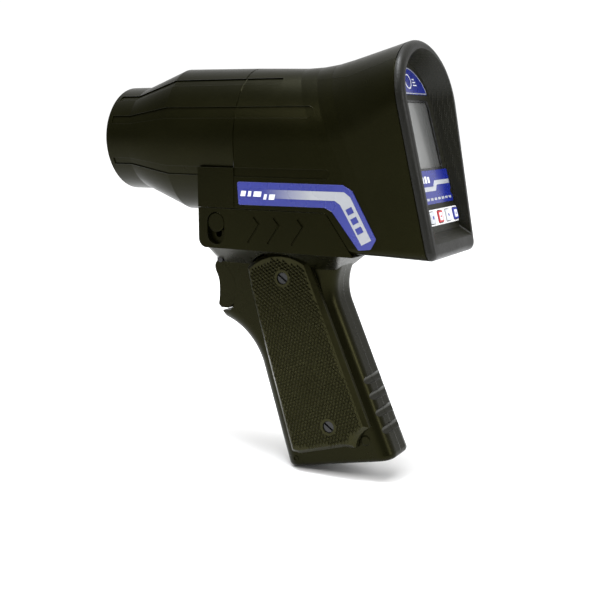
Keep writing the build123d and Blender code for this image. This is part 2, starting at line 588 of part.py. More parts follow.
with BuildPart() as grip_solid:
    with BuildSketch(Plane.XZ):
        with BuildLine():
            Polyline((-133.0, -58.6), (-136.5, SADDLE_BOTTOM), (-55.0, SADDLE_BOTTOM))
            strap_arc = ThreePointArc(STRAP_TOP, STRAP_MIDDLE, STRAP_LOW)
            nose_end = strap_arc @ 0 - (strap_arc % 0) * 14.0
            Polyline((-55.0, SADDLE_BOTTOM), nose_end, STRAP_TOP)
            Polyline(STRAP_LOW, along_strap(BELOW_BASE), along_back(BELOW_BASE), BACK_TOP)
            ThreePointArc(BACK_TOP, (-129.2, -70.0), (-133.0, -58.6))
        make_face()
    extrude(amount=FRAME_HALF_WIDTH, both=True)
    side_edges = grip_solid.edges().filter_by(
        lambda edge: abs(abs(edge.center().Y) - FRAME_HALF_WIDTH) < 0.01 and edge.center().Z < -86.0)
    fillet(side_edges.filter_by(lambda edge: -132.0 < edge.center().X < -63.0 and edge.length > 15.0),
           STRAP_ROUND)
    fillet(grip_solid.edges().filter_by(
        lambda edge: abs(abs(edge.center().Y) - FRAME_HALF_WIDTH) < 0.01
        and edge.center().X < -129.0 and edge.length > 50.0), BACK_ROUND)
    with BuildSketch(Plane.XY.offset(SADDLE_BOTTOM)) as neck_top:
        with Locations((-99.5, 0)):
            RectangleRounded(77.0, 2 * NECK_HALF_WIDTH, 5.0)
    with BuildSketch(Plane.XY.offset(NECK_BOTTOM)) as neck_low:
        with Locations((-95.5, 0)):
            RectangleRounded(69.0, 2 * FRAME_HALF_WIDTH, 5.0)
    loft(sections=[neck_top.sketch, neck_low.sketch])
    extrude(to_extrude=trigger_room(), amount=2 * NECK_HALF_WIDTH, both=True, mode=Mode.SUBTRACT)
    with BuildSketch(Plane.XZ) as below:
        with BuildLine():
            Polyline(along_base(-80.0), along_base(-180.0), (-180.0, BELOW_BASE - 5.0),
                     (-80.0, BELOW_BASE - 5.0), close=True)
        make_face()
    extrude(to_extrude=below.sketch, amount=20.0, both=True, mode=Mode.SUBTRACT)
    fillet(grip_solid.edges().filter_by(Axis.Y).group_by(Axis.Z)[0], 2.5)
    with BuildSketch(Plane.XZ) as ribs:
        with Locations(*[(along_back(z)[0] - RIB_LIFT, z) for z in RIB_GROOVES]):
            Circle(RIB_R)
    extrude(to_extrude=ribs.sketch, amount=20.0, both=True, mode=Mode.SUBTRACT)
    add(panel_room.part, mode=Mode.SUBTRACT)
    with BuildSketch(Plane.XZ) as hollow:
        with BuildLine():
            Polyline((-55.0, -57.0), (-80.0, -57.0), (-80.0, SADDLE_BOTTOM),
                     (-119.0, SADDLE_BOTTOM), (-119.0, -62.0), (-124.5, -68.0), (-126.0, -81.0),
                     (-148.0, -138.0), (-142.5, -146.0), along_base(-137.0, 3.0 + BASE_PLATE_T),
                     along_base(-108.5, 3.0 + BASE_PLATE_T), (-92.0, -114.5), (-85.5, -104.0),
                     (-80.0, -94.0), (-55.0, -94.0), close=True)
        make_face()
        with BuildLine():
            Polyline(NOTCH_LOW, SHELF, (-60.0, -89.0), (-60.0, -96.0), (-76.0, -96.0), (-74.0, -88.6),
                     close=True)
        make_face(mode=Mode.SUBTRACT)
    extrude(to_extrude=hollow.sketch, amount=FRAME_CAVITY_HALF, both=True, mode=Mode.SUBTRACT)
    with BuildSketch(Plane.XZ) as base_slot:
        with BuildLine():
            Polyline(along_base(-137.0, -1.0), along_base(-108.5, -1.0), along_base(-108.5, 7.0),
                     along_base(-137.0, 7.0), close=True)
        make_face()
    extrude(to_extrude=base_slot.sketch, amount=FRAME_CAVITY_HALF, both=True, mode=Mode.SUBTRACT)
    with Locations(*[(x, y, SADDLE_BOTTOM) for x, y in NECK_SCREWS]):
        Cylinder(1.3, 2 * 6.5, mode=Mode.SUBTRACT)
    with Locations(Plane.XZ * Pos(*TRIGGER_PIN)):
        Cylinder(TRIGGER_PIN_R, 60.0, mode=Mode.SUBTRACT)
    with Locations(Plane.XZ * Pos(*BASE_PIN)):
        Cylinder(BASE_PIN_R, 60.0, mode=Mode.SUBTRACT)
    with Locations(*[Plane.XZ * Pos(x, z) for x, z in PANEL_SCREWS]):
        Cylinder(3.6, 60.0, mode=Mode.SUBTRACT)

for side_name, side in (("left", 1), ("right", -1)):
    with BuildPart() as grip_frame:
        add(grip_solid.part)
        with Locations((0, -side * 300.0, 0)):
            Box(600.0, 600.0, 600.0, mode=Mode.SUBTRACT)
    save(grip_frame, f"grip_frame_{side_name}")

for side_name, side in (("left", 1), ("right", -1)):
    with BuildPart() as grip_panel:
        with BuildSketch(side_plane(side * (FRAME_HALF_WIDTH + 0.05))):
            add(panel_outline())
        extrude(amount=-side * (PANEL_FACE_Y - FRAME_HALF_WIDTH - 0.05))
        outer_face = grip_panel.faces().sort_by(Axis.Y)[-1 if side > 0 else 0]
        chamfer(outer_face.edges(), PANEL_BEVEL)
        for x, z in PANEL_SCREWS:
            with BuildSketch(side_plane(side * PANEL_FACE_Y)):
                with Locations((x, z)):
                    Circle(GRIP_SCREW_HEAD_R + 0.2)
            extrude(amount=side * 1.9, mode=Mode.SUBTRACT)
            with BuildSketch(side_plane(side * PANEL_FACE_Y)):
                with Locations((x, z)):
                    Circle(GRIP_SCREW_R + 0.1)
            extrude(amount=side * 6.0, mode=Mode.SUBTRACT)
    save(grip_panel, f"grip_panel_{side_name}")

# ---------------------------------------------------------------- base plate, battery and grip fasteners

GRIP_TILT = degrees(atan(BACK_SLOPE))
BATTERY_CENTRE, BATTERY_SIZE = (-112.5, -108.0), (27.0, 50.0, 15.0)
BUSHING_R = 3.6

with BuildPart() as base_plate:
    with BuildSketch(Plane.XZ):
        with BuildLine():
            Polyline(along_base(-136.9, 0.8), along_base(-108.6, 0.8), along_base(-108.6, 0.8 + BASE_PLATE_T),
                     along_base(-136.9, 0.8 + BASE_PLATE_T), close=True)
        make_face()
    extrude(amount=FRAME_CAVITY_HALF - 0.05, both=True)
save(base_plate, "base_plate")

with BuildPart() as battery_pack:
    with Locations(Location((BATTERY_CENTRE[0], 0, BATTERY_CENTRE[1]), (0, GRIP_TILT - 3.0, 0))):
        Box(BATTERY_SIZE[0], BATTERY_SIZE[2], BATTERY_SIZE[1])
    fillet(battery_pack.edges(), 2.0)
save(battery_pack, "battery_pack")

with BuildPart() as grip_bushings:
    for side in (1, -1):
        for x, z in PANEL_SCREWS:
            with BuildSketch(side_plane(side * FRAME_HALF_WIDTH)):
                with Locations((x, z)):
                    Circle(BUSHING_R)
                    Circle(GRIP_SCREW_R, mode=Mode.SUBTRACT)
            extrude(amount=side * (FRAME_HALF_WIDTH - FRAME_CAVITY_HALF))
save(grip_bushings, "grip_bushings")

with BuildPart() as grip_screws:
    for side in (1, -1):
        for x, z in PANEL_SCREWS:
            with BuildSketch(side_plane(side * (PANEL_FACE_Y - 0.1))):
                with Locations((x, z)):
                    Circle(GRIP_SCREW_HEAD_R)
            extrude(amount=side * 1.8)
            with BuildSketch(side_plane(side * (PANEL_FACE_Y - 1.9))):
                with Locations((x, z)):
                    Circle(GRIP_SCREW_R)
            extrude(amount=side * (PANEL_FACE_Y - 1.9 - FRAME_CAVITY_HALF))
            with BuildSketch(side_plane(side * (PANEL_FACE_Y - 0.1))):
                with Locations((x, z)):
                    SlotOverall(2 * GRIP_SCREW_HEAD_R + 1.0, 0.8, rotation=35.0)
            extrude(amount=side * 0.9, mode=Mode.SUBTRACT)
save(grip_screws, "grip_screws")

with BuildPart() as base_pin:
    with Locations(Plane.XZ * Pos(*BASE_PIN)):
        Cylinder(BASE_PIN_R, 2 * FRAME_HALF_WIDTH + 0.8)
    chamfer(base_pin.edges().filter_by(GeomType.CIRCLE), 0.4)
save(base_pin, "base_pin")

# ---------------------------------------------------------------- trigger

SPRING_HALF = 2.9
SWITCH_CENTRE, SWITCH_SIZE = (-87.5, -75.0), (9.0, 12.0, 6.0)
PLUNGER_Z, PLUNGER_R = -75.0, 1.2

with BuildPart() as trigger:
    with BuildSketch(Plane.XZ):
        with BuildLine():
            Line((-62.2, -60.0), (-59.0, -63.2))
            Spline((-59.0, -63.2), (-57.6, -66.5), (-59.6, -72.0), (-60.3, -77.1), (-60.1, -83.0),
                   (-59.6, -86.6))
            Polyline((-59.6, -86.6), (-61.2, -88.2), (-65.6, -88.2), (-71.4, -84.0), (-75.6, -76.0),
                     (-73.5, -66.5), (-67.9, -60.5))
            ThreePointArc((-67.9, -60.5), (-65.0, -58.3), (-62.2, -60.0))
        make_face()
    extrude(amount=TRIGGER_HALF_WIDTH, both=True)
    front_faces = trigger.faces().filter_by(GeomType.EXTRUSION) + trigger.faces().filter_by(GeomType.BSPLINE)
    fillet(front_faces[0].edges().filter_by(lambda edge: abs(edge.center().Y) > TRIGGER_HALF_WIDTH - 0.1),
           2.4)
    with BuildSketch(Plane.XZ):
        with BuildLine():
            Polyline((-64.0, -71.0), (-64.2, -85.0), (-66.5, -85.0), (-69.8, -80.0), (-72.8, -75.6),
                     (-71.8, -71.0), close=True)
        make_face()
    extrude(amount=TRIGGER_HALF_WIDTH - 2.0, both=True, mode=Mode.SUBTRACT)
    with Locations(Plane.XZ * Pos(*TRIGGER_PIN)):
        Cylinder(TRIGGER_PIN_R + 0.05, 60.0, mode=Mode.SUBTRACT)
    with Locations((TRIGGER_PIN[0], 0, TRIGGER_PIN[1])):
        Box(12.0, 2 * SPRING_HALF, 8.6, mode=Mode.SUBTRACT)
save(trigger, "trigger")

with BuildPart() as trigger_pin:
    with Locations(Plane.XZ * Pos(*TRIGGER_PIN)):
        Cylinder(TRIGGER_PIN_R, 2 * FRAME_HALF_WIDTH + 6.0)
save(trigger_pin, "trigger_pin")

with BuildPart() as trigger_spring:
    with Locations(Plane.XZ * Pos(*TRIGGER_PIN)):
        Cylinder(TRIGGER_PIN_R + 1.2, 2 * SPRING_HALF - 0.8)
        Cylinder(TRIGGER_PIN_R + 0.3, 2 * SPRING_HALF, mode=Mode.SUBTRACT)
    for y in (-1.6, 0.0, 1.6):
        with Locations(Plane.XZ.offset(y) * Pos(*TRIGGER_PIN)):
            Cylinder(TRIGGER_PIN_R + 2.0, 0.3, mode=Mode.SUBTRACT)
            Cylinder(TRIGGER_PIN_R + 0.9, 0.3)
            Cylinder(TRIGGER_PIN_R + 0.3, 0.3, mode=Mode.SUBTRACT)
save(trigger_spring, "trigger_spring")

with BuildPart() as trigger_switch:
    with Locations((SWITCH_CENTRE[0], 0, SWITCH_CENTRE[1])):
        Box(SWITCH_SIZE[0], SWITCH_SIZE[2], SWITCH_SIZE[1])
    with Locations(Plane.YZ.offset(SWITCH_CENTRE[0] + SWITCH_SIZE[0] / 2) * Pos(0, PLUNGER_Z)):
        Cylinder(PLUNGER_R + 0.1, 2 * 5.0, mode=Mode.SUBTRACT)
save(trigger_switch, "trigger_switch")

with BuildPart() as switch_plunger:
    with BuildSketch(Plane.YZ.offset(SWITCH_CENTRE[0] + SWITCH_SIZE[0] / 2 - 3.2)):
        with Locations((0, PLUNGER_Z)):
            Circle(PLUNGER_R)
    extrude(amount=3.2 + 6.7)
    fillet(switch_plunger.edges().sort_by(Axis.X)[-1], 0.5)
save(switch_plunger, "switch_plunger")

# ---------------------------------------------------------------- antenna, electronics and leads

HORN_MOUTH_R, HORN_MOUTH_X, HORN_THROAT_R, HORN_THROAT_X, HORN_WALL = 23.0, -4.5, 9.0, -56.0, 1.4
HORN_FLANGE = 13.5

with BuildPart() as antenna_lens:
    with BuildSketch(station(0)):
        Circle(LENS_R)
    extrude(amount=-LENS_T)
save(antenna_lens, "antenna_lens")

with BuildPart() as antenna_horn:
    with BuildSketch(Plane.XZ):
        with BuildLine():
            Polyline((HORN_MOUTH_X, HORN_MOUTH_R), (HORN_MOUTH_X, HORN_MOUTH_R - HORN_WALL),
                     (HORN_THROAT_X, HORN_THROAT_R - HORN_WALL),
                     (HORN_THROAT_X - 3.0, HORN_THROAT_R - HORN_WALL), (HORN_THROAT_X - 3.0, HORN_FLANGE),
                     (HORN_THROAT_X, HORN_FLANGE), (HORN_THROAT_X, HORN_THROAT_R), close=True)
        make_face()
    revolve(axis=Axis.X)
save(antenna_horn, "antenna_horn")

with BuildPart() as transceiver:
    with Locations((HORN_THROAT_X - 3.0 - 12.0, 0, 0)):
        Box(24.0, 26.0, 24.0)
    with Locations((HORN_THROAT_X - 3.0 - 24.0 - 2.0, 0, 0)):
        Box(4.0, 12.0, 8.0)
save(transceiver, "transceiver")

with BuildPart() as main_board:
    with Locations((BOARD_X, 0, BOARD_Z + BOARD_T / 2)):
        Box(BOARD_LENGTH, 2 * BOARD_HALF_WIDTH, BOARD_T)
    with Locations(*[(x, y, BOARD_Z + BOARD_T + 1.0) for x, y in ((-104.0, 5.0), (-118.0, -4.0))]):
        Box(12.0, 12.0, 2.0)
    with Locations(*[(x, y, BOARD_Z) for x, y in BOARD_SCREWS]):
        Cylinder(1.3, 4 * BOARD_T, mode=Mode.SUBTRACT)
save(main_board, "main_board")

with BuildPart() as board_screws:
    with Locations(*[(x, y, BOARD_Z + BOARD_T + 0.6) for x, y in BOARD_SCREWS]):
        Cylinder(2.2, 1.2)
    with Locations(*[(x, y, BOARD_Z + BOARD_T - 2.4) for x, y in BOARD_SCREWS]):
        Cylinder(1.0, 4.8)
save(board_screws, "board_screws")

with BuildPart() as speaker:
    with Locations((SPEAKER_X, 0, SPEAKER_Z + SPEAKER_T / 2)):
        Cylinder(SPEAKER_R, SPEAKER_T)
        Cylinder(SPEAKER_R - 5.0, SPEAKER_T + 4.0)
    with Locations((SPEAKER_X, 0, SPEAKER_Z - 2.0)):
        Cylinder(SPEAKER_R - 1.5, 2 * 2.8, mode=Mode.SUBTRACT)
save(speaker, "speaker")

with BuildPart() as housing_screws:
    for y, z in SEAM_BOSSES:
        with BuildSketch(Plane.YZ.offset(SEAM_X - BOSS_LENGTH)):
            with Locations((y, z)):
                Circle(M3_HEAD_R)
        extrude(amount=-M3_HEAD_H)
        with BuildSketch(Plane.YZ.offset(SEAM_X - BOSS_LENGTH)):
            with Locations((y, z)):
                Circle(M3_R)
        extrude(amount=BOSS_LENGTH + 7.0)
save(housing_screws, "housing_screws")

with BuildPart() as saddle_screws:
    for x, y in SADDLE_SCREWS:
        with Locations((x, y, CAVITY_TOP - M3_HEAD_H / 2)):
            Cylinder(M3_HEAD_R, M3_HEAD_H)
        with Locations((x, y, CAVITY_TOP + 5.0)):
            Cylinder(M3_R, 10.0)
save(saddle_screws, "saddle_screws")

with BuildPart() as grip_mount_screws:
    for x, y in NECK_SCREWS:
        with Locations((x, y, CAVITY_BOTTOM + M3_HEAD_H / 2)):
            Cylinder(M3_HEAD_R, M3_HEAD_H)
        with Locations((x, y, CAVITY_BOTTOM - 4.0)):
            Cylinder(1.3, 8.0)
save(grip_mount_screws, "grip_mount_screws")


def cable(points, radius):
    """Lead of round section along a smooth path through points."""
    with BuildPart() as lead:
        with BuildLine() as run:
            Spline(*points)
        with BuildSketch(Plane(origin=run.line @ 0, z_dir=run.line % 0)):
            Circle(radius)
        sweep()
    return lead


save(cable([(-120.0, 0, BOARD_Z + BOARD_T + 2.5), (-124.0, 0, -10.0), (-138.0, 0, 0.0),
            (-152.0, 0, -6.0), (-160.3, 0, -8.0)], 1.2), "display_lead")
save(cable([(-100.0, 4.0, BOARD_Z - 0.4), (-100.0, 4.0, -40.0), (-101.0, 0, -60.0), (-103.0, 0, -74.0),
            (-104.5, 0, -82.0)], 1.2), "battery_lead")
save(cable([(-94.0, -4.0, BOARD_Z - 0.4), (-93.0, -4.0, -45.0), (-91.0, -1.0, -60.0), (-88.0, 0, -68.4)],
           1.0), "trigger_lead")
save(cable([(HORN_THROAT_X - 33.0, 0, 0), (-100.0, 3.0, -4.0), (-104.0, 5.0, -12.0),
            (-104.0, 5.0, BOARD_Z + BOARD_T + 2.4)], 1.0), "antenna_lead")

# ---------------------------------------------------------------- side labels

SIDE_LABEL_T = 0.25

with BuildPart() as label_prism:
    with BuildSketch(Plane.XZ) as label_shape:
        with BuildLine():
            Polyline((-84.3, -20.0), (-142.5, -19.9), (-147.6, -22.5), (-160.1, -44.4), (-157.2, -49.3),
                     (-151.0, -50.0), (-137.0, -32.6), (-133.0, -30.9), (-85.0, -31.3), close=True)
        make_face()
        fillet(label_shape.vertices(), 1.0)
    extrude(amount=40.0, both=True)

label_skin = body_volume(-SIDE_LABEL_T)
for side_name, side in (("left", 1), ("right", -1)):
    with BuildPart() as side_label:
        add(label_skin)
        with Locations((-120.0, side * 40.0, -30.0)):
            Box(120.0, 60.0, 60.0, mode=Mode.INTERSECT)
        add(label_prism.part, mode=Mode.INTERSECT)
        add(body, mode=Mode.SUBTRACT)
    save(side_label, f"side_label_{side_name}")
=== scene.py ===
import math

import bpy
from mathutils import Matrix, Vector
from mathutils.bvhtree import BVHTree


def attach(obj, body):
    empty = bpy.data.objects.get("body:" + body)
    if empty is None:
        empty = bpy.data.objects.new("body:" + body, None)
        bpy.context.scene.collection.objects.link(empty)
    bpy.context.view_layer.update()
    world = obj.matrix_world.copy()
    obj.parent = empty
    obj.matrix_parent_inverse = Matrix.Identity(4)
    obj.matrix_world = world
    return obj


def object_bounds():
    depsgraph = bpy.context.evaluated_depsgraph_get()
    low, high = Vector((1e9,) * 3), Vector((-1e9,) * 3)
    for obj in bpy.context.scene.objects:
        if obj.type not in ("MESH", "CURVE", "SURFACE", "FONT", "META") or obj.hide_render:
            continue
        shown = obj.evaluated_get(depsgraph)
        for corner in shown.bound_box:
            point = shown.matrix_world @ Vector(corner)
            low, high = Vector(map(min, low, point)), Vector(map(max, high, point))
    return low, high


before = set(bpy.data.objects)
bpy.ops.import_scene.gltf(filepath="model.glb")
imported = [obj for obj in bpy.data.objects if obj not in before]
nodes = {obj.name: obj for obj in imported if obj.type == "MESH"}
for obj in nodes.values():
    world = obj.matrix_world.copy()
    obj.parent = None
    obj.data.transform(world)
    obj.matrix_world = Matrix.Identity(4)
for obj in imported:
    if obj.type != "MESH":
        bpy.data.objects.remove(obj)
cad_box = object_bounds()
MM = 0.001

# Casing and panel dimensions, in millimetres, in the row frame
FASCIA_X, FASCIA_SLOPE = -169.5, 0.277
PANEL_FACE_Y = 17.0
FRAME_FACE_Y = 12.5
LABEL_FACE = 0.3
SIDE_LABEL_FACE = 28.25
KEY_FACE = 1.4
KEY_PITCH, KEY_Z = 9.8, -36.6
INK, THICK_INK = 0.05, 0.06       # heights of printed marks over their label


# ---------------------------------------------------------------- materials

def new_material(name):
    material = bpy.data.materials.new(name)
    material.use_nodes = True
    tree = material.node_tree
    shader = tree.nodes["Principled BSDF"]
    coords = tree.nodes.new("ShaderNodeTexCoord").outputs["Object"]
    return material, tree, shader, coords


def noise(tree, coords, scale, detail=4.0, roughness=0.55):
    node = tree.nodes.new("ShaderNodeTexNoise")
    node.inputs["Scale"].default_value = scale
    node.inputs["Detail"].default_value = detail
    node.inputs["Roughness"].default_value = roughness
    tree.links.new(coords, node.inputs["Vector"])
    return node.outputs["Fac"]


def remap(tree, value, low, high, from_low=0.3, from_high=0.7):
    node = tree.nodes.new("ShaderNodeMapRange")
    for socket, number in (("From Min", from_low), ("From Max", from_high),
                           ("To Min", low), ("To Max", high)):
        node.inputs[socket].default_value = number
    tree.links.new(value, node.inputs["Value"])
    return node.outputs["Result"]


def blend_colours(tree, factor, first, second):
    node = tree.nodes.new("ShaderNodeMix")
    node.data_type = "RGBA"
    node.inputs["A"].default_value = (*first, 1.0)
    node.inputs["B"].default_value = (*second, 1.0)
    tree.links.new(factor, node.inputs["Factor"])
    return node.outputs["Result"]


def bumps(tree, shader, heights, edge=0.0):
    """Chains bump nodes, one for each (height, strength, distance), over softly rounded edges."""
    normal = None
    if edge:
        rounded = tree.nodes.new("ShaderNodeBevel")
        rounded.samples = 4
        rounded.inputs["Radius"].default_value = edge
        normal = rounded.outputs["Normal"]
    for height, strength, distance in heights:
        node = tree.nodes.new("ShaderNodeBump")
        node.inputs["Strength"].default_value = strength
        node.inputs["Distance"].default_value = distance
        tree.links.new(height, node.inputs["Height"])
        if normal is not None:
            tree.links.new(normal, node.inputs["Normal"])
        normal = node.outputs["Normal"]
    tree.links.new(normal, shader.inputs["Normal"])


def scaled(colour, factor):
    return tuple(channel * factor for channel in colour)


def moulded(name, colour, roughness=0.4, grain=1500.0, depth=0.25, spread=0.08, metallic=0.0,
            coat=0.0, edge=0.0004, mottle=0.2, specular=0.5, tint=(1.0, 1.0, 1.0)):
    """Moulded or coated surface: fine grain, slow patches of gloss, and slight unevenness of colour."""
    material, tree, shader, coords = new_material(name)
    wear = noise(tree, coords, 28.0, 5.0)
    fine = noise(tree, coords, grain, 3.0)
    colour_mix = blend_colours(tree, remap(tree, wear, 0.0, 1.0), scaled(colour, 1.0 - mottle),
                               scaled(colour, 1.0 + mottle))
    tree.links.new(colour_mix, shader.inputs["Base Color"])
    tree.links.new(remap(tree, noise(tree, coords, 70.0, 6.0), roughness - spread, roughness + spread),
                   shader.inputs["Roughness"])
    shader.inputs["Metallic"].default_value = metallic
    shader.inputs["Specular IOR Level"].default_value = specular
    shader.inputs["Specular Tint"].default_value = (*tint, 1.0)
    shader.inputs["Coat Weight"].default_value = coat
    shader.inputs["Coat Roughness"].default_value = 0.12
    bumps(tree, shader, [(fine, depth, 0.00012), (wear, 0.05, 0.0006)], edge)
    return material


def dotted(name, colour, roughness, pitch):
    """Plastic with a fine field of moulded dots."""
    material, tree, shader, coords = new_material(name)
    cells = tree.nodes.new("ShaderNodeTexVoronoi")
    cells.inputs["Scale"].default_value = 1.0 / pitch
    cells.inputs["Randomness"].default_value = 0.15
    tree.links.new(coords, cells.inputs["Vector"])
    dots = remap(tree, cells.outputs["Distance"], 1.0, 0.0, 0.15, 0.45)
    wear = noise(tree, coords, 40.0)
    tree.links.new(blend_colours(tree, dots, scaled(colour, 0.75), scaled(colour, 1.35)),
                   shader.inputs["Base Color"])
    tree.links.new(remap(tree, wear, roughness - 0.06, roughness + 0.06), shader.inputs["Roughness"])
    shader.inputs["Specular IOR Level"].default_value = 0.2
    bumps(tree, shader, [(dots, 0.5, 0.0002)])
    return material


def graded(name, axis, start, end, first, second, roughness=0.3, coat=0.0):
    """Surface whose colour runs from first to second between two places along an axis, in mm: a printed
    fade on the side stripe, and a painted reflection on the display window.
    """
    material, tree, shader, coords = new_material(name)
    split = tree.nodes.new("ShaderNodeSeparateXYZ")
    tree.links.new(coords, split.inputs["Vector"])
    run = remap(tree, split.outputs[axis], 0.0, 1.0, start * MM, end * MM)
    tree.links.new(blend_colours(tree, run, first, second), shader.inputs["Base Color"])
    tree.links.new(remap(tree, noise(tree, coords, 90.0), roughness - 0.05, roughness + 0.05),
                   shader.inputs["Roughness"])
    shader.inputs["Coat Weight"].default_value = coat
    bumps(tree, shader, [(noise(tree, coords, 2500.0, 2.0), 0.06, 0.0001)])
    return material


CASING_COLOUR = (0.0024, 0.0024, 0.0006)
BLUE = (0.005, 0.012, 0.17)
OLIVE_SHEEN = (1.0, 0.96, 0.4)
casing = moulded("casing", CASING_COLOUR, roughness=0.3, grain=1300.0, depth=0.32, spread=0.03,
                 specular=0.07, tint=OLIVE_SHEEN)
grip_plastic = moulded("grip_frame", (0.0026, 0.0026, 0.001), roughness=0.27, grain=1500.0, depth=0.22,
                       spread=0.03, specular=0.09, tint=OLIVE_SHEEN)
panel_plastic = moulded("grip_panel", (0.0055, 0.0053, 0.002), roughness=0.3, grain=1700.0, depth=0.2,
                        specular=0.18, tint=OLIVE_SHEEN)
bezel_plastic = moulded("bezel", (0.006, 0.006, 0.0045), roughness=0.4, grain=1050.0, depth=0.9,
                        specular=0.16)
funnel_plastic = dotted("funnel", (0.0075, 0.0075, 0.0035), 0.42, 0.0011)
fascia_plastic = dotted("fascia", (0.012, 0.012, 0.007), 0.4, 0.0009)
# Painted reflection: the display window's grey runs lighter towards +Y and darker towards -Y.
window_glass_painted_reflection = graded("window", "Y", 17.0, -17.0, (0.17, 0.174, 0.17), (0.05, 0.051, 0.05), 0.2, 0.2)
window_frame = moulded("window_frame", (0.008, 0.008, 0.009), roughness=0.25, grain=2200.0, depth=0.1)
label_blue = moulded("label_blue", BLUE, roughness=0.28, grain=2600.0, depth=0.05, mottle=0.08, coat=0.2)
silver_print = moulded("silver_print", (0.42, 0.44, 0.48), roughness=0.3, grain=2600.0, depth=0.05,
                       metallic=0.3, mottle=0.1, coat=0.4)
white_print = moulded("white_print", (0.66, 0.68, 0.72), roughness=0.34, grain=2600.0, depth=0.05,
                      mottle=0.05)
stripe_print = graded("stripe_print", "X", -99.0, -126.0, BLUE, (0.29, 0.3, 0.32), 0.28, 0.1)
keypad_white = moulded("keypad", (0.7, 0.7, 0.71), roughness=0.36, grain=2200.0, depth=0.1, mottle=0.05)
key_red = moulded("key_red", (0.42, 0.012, 0.02), roughness=0.4, grain=2200.0, depth=0.12, mottle=0.1)
key_blue = moulded("key_blue", (0.012, 0.02, 0.24), roughness=0.4, grain=2200.0, depth=0.12, mottle=0.1)
key_pale = moulded("key_pale", (0.5, 0.52, 0.55), roughness=0.4, grain=2200.0, depth=0.12, mottle=0.06)
dark_steel = moulded("dark_steel", (0.006, 0.006, 0.006), roughness=0.3, grain=1800.0, depth=0.15,
                     metallic=0.4)
rubber = moulded("rubber", (0.002, 0.002, 0.002), roughness=0.65, grain=1600.0, depth=0.2)
lens_plastic = moulded("lens", (0.006, 0.006, 0.006), roughness=0.3, grain=1200.0, depth=0.15)
metal = moulded("metal", (0.6, 0.61, 0.63), roughness=0.35, grain=1500.0, depth=0.1, metallic=0.9)
brass = moulded("brass", (0.62, 0.44, 0.16), roughness=0.3, grain=1500.0, depth=0.1, metallic=0.95)
board_green = moulded("board", (0.01, 0.09, 0.03), roughness=0.35, grain=900.0, depth=0.2)
cell_blue = moulded("cell_blue", (0.02, 0.07, 0.22), roughness=0.4, grain=1200.0, depth=0.1)
lead_red = moulded("lead_red", (0.2, 0.01, 0.01), roughness=0.5, grain=1500.0, depth=0.1)

NODE_MATERIALS = {
    casing: ["front_housing", "rear_housing", "saddle", "lock_slide", "speaker"],
    grip_plastic: ["grip_frame_left", "grip_frame_right", "trigger", "base_plate", "trigger_switch",
                   "switch_plunger", "base_pin"],
    panel_plastic: ["grip_panel_left", "grip_panel_right"],
    bezel_plastic: ["rear_bezel"],
    fascia_plastic: ["rear_fascia"],
    window_glass_painted_reflection: ["display_window", "lcd_module"],
    label_blue: ["arch_label", "info_label", "side_label_left", "side_label_right"],
    keypad_white: ["keypad_plate"],
    key_blue: ["key_1", "key_5"],
    key_red: ["key_3"],
    key_pale: ["key_2", "key_4"],
    dark_steel: ["grip_screws", "housing_screws", "saddle_screws", "grip_mount_screws", "board_screws",
                 "trigger_pin", "trigger_spring"],
    rubber: ["seam_gasket"],
    lens_plastic: ["antenna_lens"],
    metal: ["antenna_horn", "transceiver"],
    brass: ["grip_bushings"],
    board_green: ["main_board", "display_board"],
    cell_blue: ["battery_pack"],
    lead_red: ["display_lead", "battery_lead", "trigger_lead", "antenna_lead"],
}
for material, names in NODE_MATERIALS.items():
    for name in names:
        mesh = nodes[name].data
        mesh.materials.clear()
        mesh.materials.append(material)


# The hood's mouth, in metres: how far behind the origin the lip's plane lies, and how it leans
LIP_X, LIP_LEAN, LIP_DEPTH = 0.1782, 0.203, 0.0002
MOUTH_CENTRE_Z = -0.002


def paint_funnel():
    """Gives the hood's inner walls their own plastic, so only the rounded lip keeps the coarse grain."""
    mesh = nodes["rear_bezel"].data
    mesh.materials.append(funnel_plastic)
    for face in mesh.polygons:
        centre = face.center
        inward = centre.y * face.normal.y + (centre.z - MOUTH_CENTRE_Z) * face.normal.z < 0
        behind_lip = centre.x + LIP_X - LIP_LEAN * centre.z
        if inward and behind_lip > LIP_DEPTH:
            face.material_index = 1


paint_funnel()


# ---------------------------------------------------------------- building pieces

def fascia_point(across, up, out):
    """A point on the instrument panel: across towards +Y, up the panel, and out towards the user, in mm."""
    tilt = math.atan(FASCIA_SLOPE)
    return Vector((FASCIA_X + up * math.sin(tilt) - out * math.cos(tilt), across,
                   up * math.cos(tilt) + out * math.sin(tilt))) * MM


def flank_point(face, side):
    """Returns a placing function for a flat side at height face, on the left (1) or right (-1)."""
    return lambda x, z, out: Vector((x, side * (face + out), z)) * MM


def make_piece(name, vertices, faces, material, body="gun"):
    mesh = bpy.data.meshes.new(name)
    mesh.from_pydata(vertices, [], faces)
    mesh.validate()
    mesh.materials.append(material)
    piece = bpy.data.objects.new(name, mesh)
    bpy.context.collection.objects.link(piece)
    bpy.context.view_layer.objects.active = piece
    piece.select_set(True)
    bpy.ops.object.mode_set(mode="EDIT")
    bpy.ops.mesh.select_all(action="SELECT")
    bpy.ops.mesh.normals_make_consistent(inside=False)
    bpy.ops.object.mode_set(mode="OBJECT")
    piece.select_set(False)
    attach(piece, body)
    return piece


def plate(name, outline, place, low, high, material, body="gun"):
    """Thin plate with the outline given, standing from low to high over its surface."""
    count = len(outline)
    vertices = [place(a, b, low) for a, b in outline] + [place(a, b, high) for a, b in outline]
    faces = [tuple(range(count)), tuple(range(count, 2 * count))]
    faces += [(i, (i + 1) % count, count + (i + 1) % count, count + i) for i in range(count)]
    return make_piece(name, vertices, faces, material, body)


